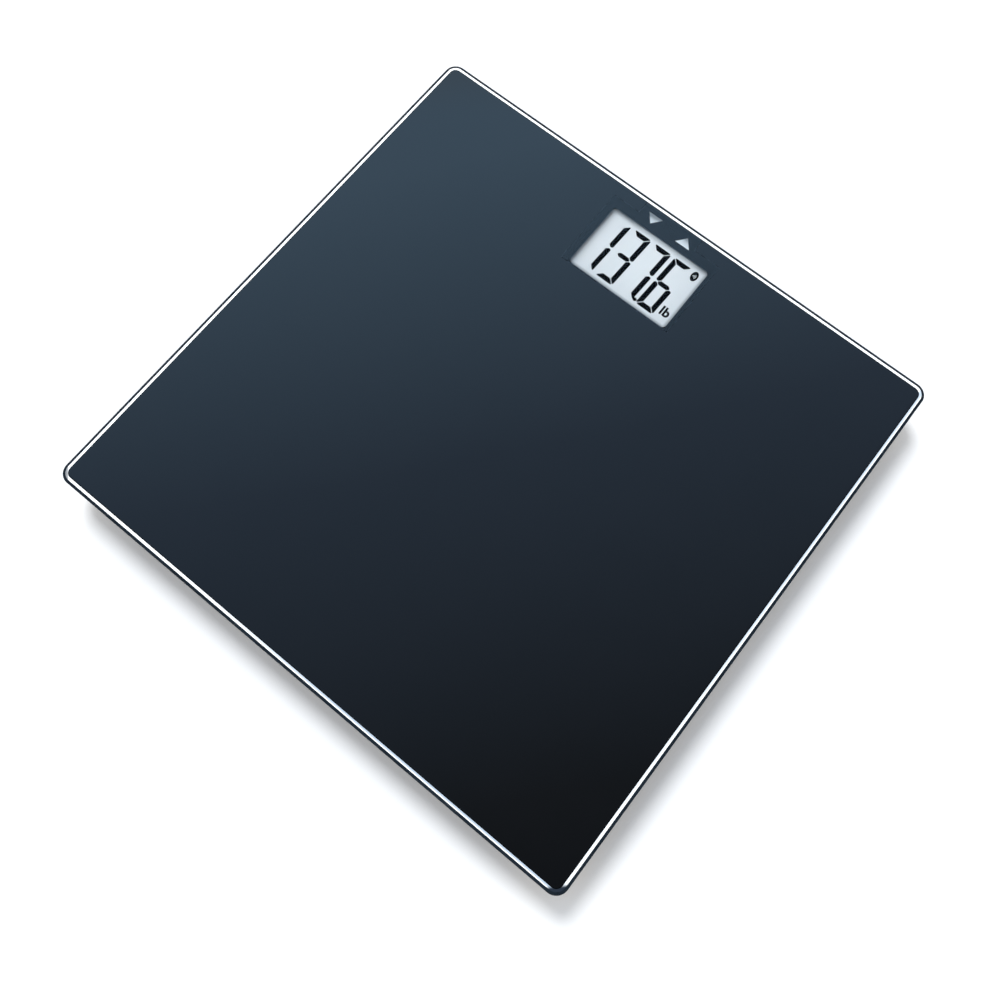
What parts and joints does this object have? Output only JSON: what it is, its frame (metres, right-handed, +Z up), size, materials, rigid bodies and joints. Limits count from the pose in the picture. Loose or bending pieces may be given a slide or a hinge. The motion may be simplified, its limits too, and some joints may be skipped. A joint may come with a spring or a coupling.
{
  "type": "digital bathroom scale",
  "caption": "Low glass-topped digital bathroom scale with a bevelled dark platform, a segment display, edge keys and load-cell feet.",
  "frame": {"origin": "centre of the footprint, on the surface that the feet stand on", "axes": "+X along the digits to the user's right, +Y from the user towards the display's edge, +Z up"},
  "size_m": [0.305, 0.3, 0.024],
  "materials": {
    "clear_glass": "tempered safety glass, clear with a faint green edge",
    "black_print": "screen-printed ink on the back of the glass",
    "pale_print": "pale grey ink",
    "black_foam": "closed-cell foam gasket",
    "polariser_film": "polarising film",
    "display_glass": "thin display glass",
    "reflector_film": "pale reflective film",
    "zebra_rubber": "elastomer contact strip",
    "housing_plastic": "white ABS with a fine spark texture",
    "circuit_board": "green solder mask over glass-epoxy",
    "chip_resin": "black potting resin",
    "module_metal": "tinned shield can on a small board",
    "small_parts": "resistors, capacitors and a crystal can",
    "switch_body": "black switch housings",
    "white_tape": "double-sided foam tape",
    "screw_steel": "zinc-plated steel",
    "label_paper": "silver polyester label",
    "battery_jacket": "printed battery jacket",
    "contact_metal": "nickel-plated spring steel",
    "key_plastic": "grey ABS keys",
    "plunger_plastic": "switch plungers",
    "gauge_resin": "translucent silicone over the strain gauge",
    "cell_steel": "stamped alloy steel",
    "cup_plastic": "dark grey ABS",
    "foot_rubber": "soft black rubber",
    "lead_jacket": "thin PVC insulation in three colours",
    "duct_plastic": "white extruded channel"
  },
  "bodies": {
    "platform": {"glass_platform": "clear_glass", "back_print": "black_print", "key_marks": "pale_print", "lcd_gasket": "black_foam", "lcd_polariser": "polariser_film", "lcd_panel": "display_glass", "lcd_reflector": "reflector_film", "zebra_strip": "zebra_rubber", "lcd_holder": "housing_plastic", "main_pcb": "circuit_board", "controller_chip": "chip_resin", "radio_module": "module_metal", "smd_parts": "small_parts", "key_switches": "switch_body", "housing_frame": "housing_plastic", "housing_adhesive": "white_tape", "housing_cover": "housing_plastic", "cover_screws": "screw_steel", "pcb_screws": "screw_steel", "rating_label": "label_paper", "battery_1": "battery_jacket", "battery_2": "battery_jacket", "battery_3": "battery_jacket", "battery_springs": "contact_metal", "battery_plates": "contact_metal", "foot_adhesives": "white_tape", "strain_gauges": "gauge_resin", "foot_housing_front_left": "housing_plastic", "load_cell_front_left": "cell_steel", "lead_front_left": "lead_jacket", "cable_duct_front_left": "duct_plastic", "foot_housing_front_right": "housing_plastic", "load_cell_front_right": "cell_steel", "lead_front_right": "lead_jacket", "cable_duct_front_right": "duct_plastic", "foot_housing_rear_left": "housing_plastic", "load_cell_rear_left": "cell_steel", "lead_rear_left": "lead_jacket", "cable_duct_rear_left": "duct_plastic", "foot_housing_rear_right": "housing_plastic", "load_cell_rear_right": "cell_steel", "lead_rear_right": "lead_jacket", "cable_duct_rear_right": "duct_plastic"},
    "foot_front_left": {"foot_cup_front_left": "cup_plastic", "foot_pad_front_left": "foot_rubber"},
    "foot_front_right": {"foot_cup_front_right": "cup_plastic", "foot_pad_front_right": "foot_rubber"},
    "foot_rear_left": {"foot_cup_rear_left": "cup_plastic", "foot_pad_rear_left": "foot_rubber"},
    "foot_rear_right": {"foot_cup_rear_right": "cup_plastic", "foot_pad_rear_right": "foot_rubber"},
    "battery_door": {"battery_door": "housing_plastic"},
    "down_key": {"down_key": "key_plastic", "down_plunger": "plunger_plastic"},
    "up_key": {"up_key": "key_plastic", "up_plunger": "plunger_plastic"},
    "unit_key": {"unit_key": "key_plastic", "unit_plunger": "plunger_plastic"}
  },
  "joints": [
    {"name": "foot_front_left_press", "type": "slide", "parent": "platform", "child": "foot_front_left", "axis": [0, 0, 1], "range_m": [0, 0.0005], "stiffness_N_per_m": 8000, "springref_m": -0.0025},
    {"name": "foot_front_right_press", "type": "slide", "parent": "platform", "child": "foot_front_right", "axis": [0, 0, 1], "range_m": [0, 0.0005], "stiffness_N_per_m": 8000, "springref_m": -0.0025},
    {"name": "foot_rear_left_press", "type": "slide", "parent": "platform", "child": "foot_rear_left", "axis": [0, 0, 1], "range_m": [0, 0.0005], "stiffness_N_per_m": 8000, "springref_m": -0.0025},
    {"name": "foot_rear_right_press", "type": "slide", "parent": "platform", "child": "foot_rear_right", "axis": [0, 0, 1], "range_m": [0, 0.0005], "stiffness_N_per_m": 8000, "springref_m": -0.0025},
    {"name": "battery_door_hinge", "type": "hinge", "parent": "platform", "child": "battery_door", "pos_m": [-0.058, 0.0876, 0.0039], "axis": [-1, 0, 0], "range_deg": [0, 95]},
    {"name": "down_key_press", "type": "slide", "parent": "platform", "child": "down_key", "axis": [0, -1, 0], "range_m": [0, 0.0005], "stiffness_N_per_m": 1500, "springref_m": -0.0008},
    {"name": "up_key_press", "type": "slide", "parent": "platform", "child": "up_key", "axis": [0, -1, 0], "range_m": [0, 0.0005], "stiffness_N_per_m": 1500, "springref_m": -0.0008},
    {"name": "unit_key_press", "type": "slide", "parent": "platform", "child": "unit_key", "axis": [0, 0, 1], "range_m": [0, 0.0005], "stiffness_N_per_m": 1500, "springref_m": -0.0008}
  ]
}
